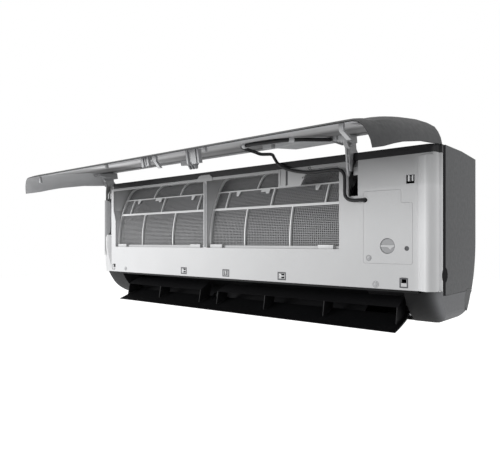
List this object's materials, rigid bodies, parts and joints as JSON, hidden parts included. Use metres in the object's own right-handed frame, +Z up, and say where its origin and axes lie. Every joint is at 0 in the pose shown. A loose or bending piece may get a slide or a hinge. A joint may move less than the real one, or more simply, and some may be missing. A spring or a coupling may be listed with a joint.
{
  "type": "mini split indoor unit",
  "caption": "Wall-mounted split air conditioner indoor unit with raised front panel, curved filters, outlet flap, cross-flow fan, coil and wall plate.",
  "frame": {"origin": "middle of the wall plate, on the wall plane", "axes": "+X to the right seen from the front, +Y into the wall, +Z up"},
  "size_m": [0.9, 0.4085, 0.3405],
  "materials": {
    "white": "satin white ABS",
    "white2": "plain white ABS",
    "panel": "satin grey",
    "side": "matt grey",
    "dark": "matt dark grey",
    "black": "matt black",
    "liner": "matt dark grey",
    "arm": "satin grey",
    "mesh": "fine mesh",
    "steel": "galvanised",
    "fin": "fin stock",
    "copper": "copper tube",
    "rubber": "matt black",
    "board": "circuit board",
    "fan": "glass-filled plastic"
  },
  "bodies": {
    "unit": {"wall_plate": "steel", "rear_casing": "dark", "front_frame": "white", "top_strip": "black", "top_grille": "side", "side_panel_left": "side", "side_panel_right": "side", "corner_seal_left": "rubber", "corner_seal_right": "rubber", "lower_casing": "dark", "pipe_cover": "side", "coil_front": "fin", "coil_top": "fin", "coil_rear": "fin", "coil_bends": "copper", "drain_pan": "dark", "drain_spigot": "white2", "liquid_pipe": "copper", "gas_pipe": "copper", "fan_motor": "steel", "motor_clamp": "steel", "fan_bush": "rubber", "control_box": "white2", "control_board": "board", "control_cover": "white", "front_screws": "steel", "display_cable": "rubber", "flap_motor": "steel"},
    "panel": {"front_panel": "panel", "panel_liner": "liner", "panel_arm_left": "arm", "panel_arm_right": "arm", "panel_hooks": "arm", "display_box": "liner", "cable_clips": "arm"},
    "outlet_flap": {"flap": "dark", "flap_hood_left": "dark", "flap_hood_right": "dark"},
    "fan": {"fan_rotor": "fan", "fan_shaft": "steel"},
    "filter_left": {"filter_frame_left": "white", "filter_mesh_left": "mesh"},
    "filter_right": {"filter_frame_right": "white", "filter_mesh_right": "mesh"},
    "knob": {"turn_knob": "white2"},
    "button": {"push_button": "liner"},
    "link_left": {"vane_link_left": "dark"},
    "link_right": {"vane_link_right": "dark"},
    "guide_1": {"vane_1": "dark"},
    "guide_2": {"vane_2": "dark"},
    "guide_3": {"vane_3": "dark"},
    "guide_4": {"vane_4": "dark"},
    "guide_5": {"vane_5": "dark"},
    "guide_6": {"vane_6": "dark"},
    "guide_7": {"vane_7": "dark"},
    "guide_8": {"vane_8": "dark"}
  },
  "joints": [
    {"name": "panel_hinge", "type": "hinge", "parent": "unit", "child": "panel", "pos_m": [0, -0.172, 0.139], "axis": [-1, 0, 0], "range_deg": [-80.6, 0], "deforming": ["display_cable"]},
    {"name": "filter_left_swing", "type": "hinge", "parent": "unit", "child": "filter_left", "pos_m": [-0.2336, -0.132, 0.1267], "axis": [-1, 0, 0], "range_deg": [0, 20]},
    {"name": "filter_right_swing", "type": "hinge", "parent": "unit", "child": "filter_right", "pos_m": [0.1091, -0.132, 0.1267], "axis": [-1, 0, 0], "range_deg": [0, 20]},
    {"name": "flap_hinge", "type": "hinge", "parent": "unit", "child": "outlet_flap", "pos_m": [0, -0.1283, -0.1338], "axis": [1, 0, 0], "range_deg": [-60.6, 30]},
    {"name": "fan_spin", "type": "hinge", "parent": "unit", "child": "fan", "pos_m": [0, -0.083, -0.022], "axis": [1, 0, 0], "continuous": true},
    {"name": "knob_turn", "type": "hinge", "parent": "unit", "child": "knob", "pos_m": [0.3665, -0.187, -0.0169], "axis": [0, -1, 0], "range_deg": [0, 90]},
    {"name": "button_press", "type": "slide", "parent": "unit", "child": "button", "axis": [0, 1, 0], "range_m": [0, 0.0015], "stiffness_N_per_m": 400, "springref_m": -0.0005},
    {"name": "vane_1_swing", "type": "hinge", "parent": "unit", "child": "guide_1", "pos_m": [-0.355, -0.14477, -0.07165], "axis": [0, 0.522, -0.8529], "range_deg": [-25, 25]},
    {"name": "vane_2_swing", "type": "hinge", "parent": "unit", "child": "guide_2", "pos_m": [-0.283, -0.14477, -0.07165], "axis": [0, 0.522, -0.8529], "range_deg": [-25, 25]},
    {"name": "vane_3_swing", "type": "hinge", "parent": "unit", "child": "guide_3", "pos_m": [-0.211, -0.14477, -0.07165], "axis": [0, 0.522, -0.8529], "range_deg": [-25, 25]},
    {"name": "vane_4_swing", "type": "hinge", "parent": "unit", "child": "guide_4", "pos_m": [-0.139, -0.14477, -0.07165], "axis": [0, 0.522, -0.8529], "range_deg": [-25, 25]},
    {"name": "vane_5_swing", "type": "hinge", "parent": "unit", "child": "guide_5", "pos_m": [-0.008, -0.14477, -0.07165], "axis": [0, 0.522, -0.8529], "range_deg": [-25, 25]},
    {"name": "vane_6_swing", "type": "hinge", "parent": "unit", "child": "guide_6", "pos_m": [0.064, -0.14477, -0.07165], "axis": [0, 0.522, -0.8529], "range_deg": [-25, 25]},
    {"name": "vane_7_swing", "type": "hinge", "parent": "unit", "child": "guide_7", "pos_m": [0.136, -0.14477, -0.07165], "axis": [0, 0.522, -0.8529], "range_deg": [-25, 25]},
    {"name": "vane_8_swing", "type": "hinge", "parent": "unit", "child": "guide_8", "pos_m": [0.208, -0.14477, -0.07165], "axis": [0, 0.522, -0.8529], "range_deg": [-25, 25]},
    {"name": "link_left_slide", "type": "slide", "parent": "unit", "child": "link_left", "axis": [1, 0, 0], "range_m": [-0.0039, 0.0039]},
    {"name": "link_right_slide", "type": "slide", "parent": "unit", "child": "link_right", "axis": [1, 0, 0], "range_m": [-0.0039, 0.0039]}
  ],
  "couplings": [
    {"joint": "vane_1_swing", "follows": "link_left_slide", "rad_per_m": 110},
    {"joint": "vane_2_swing", "follows": "link_left_slide", "rad_per_m": 110},
    {"joint": "vane_3_swing", "follows": "link_left_slide", "rad_per_m": 110},
    {"joint": "vane_4_swing", "follows": "link_left_slide", "rad_per_m": 110},
    {"joint": "vane_5_swing", "follows": "link_right_slide", "rad_per_m": 110},
    {"joint": "vane_6_swing", "follows": "link_right_slide", "rad_per_m": 110},
    {"joint": "vane_7_swing", "follows": "link_right_slide", "rad_per_m": 110},
    {"joint": "vane_8_swing", "follows": "link_right_slide", "rad_per_m": 110}
  ]
}
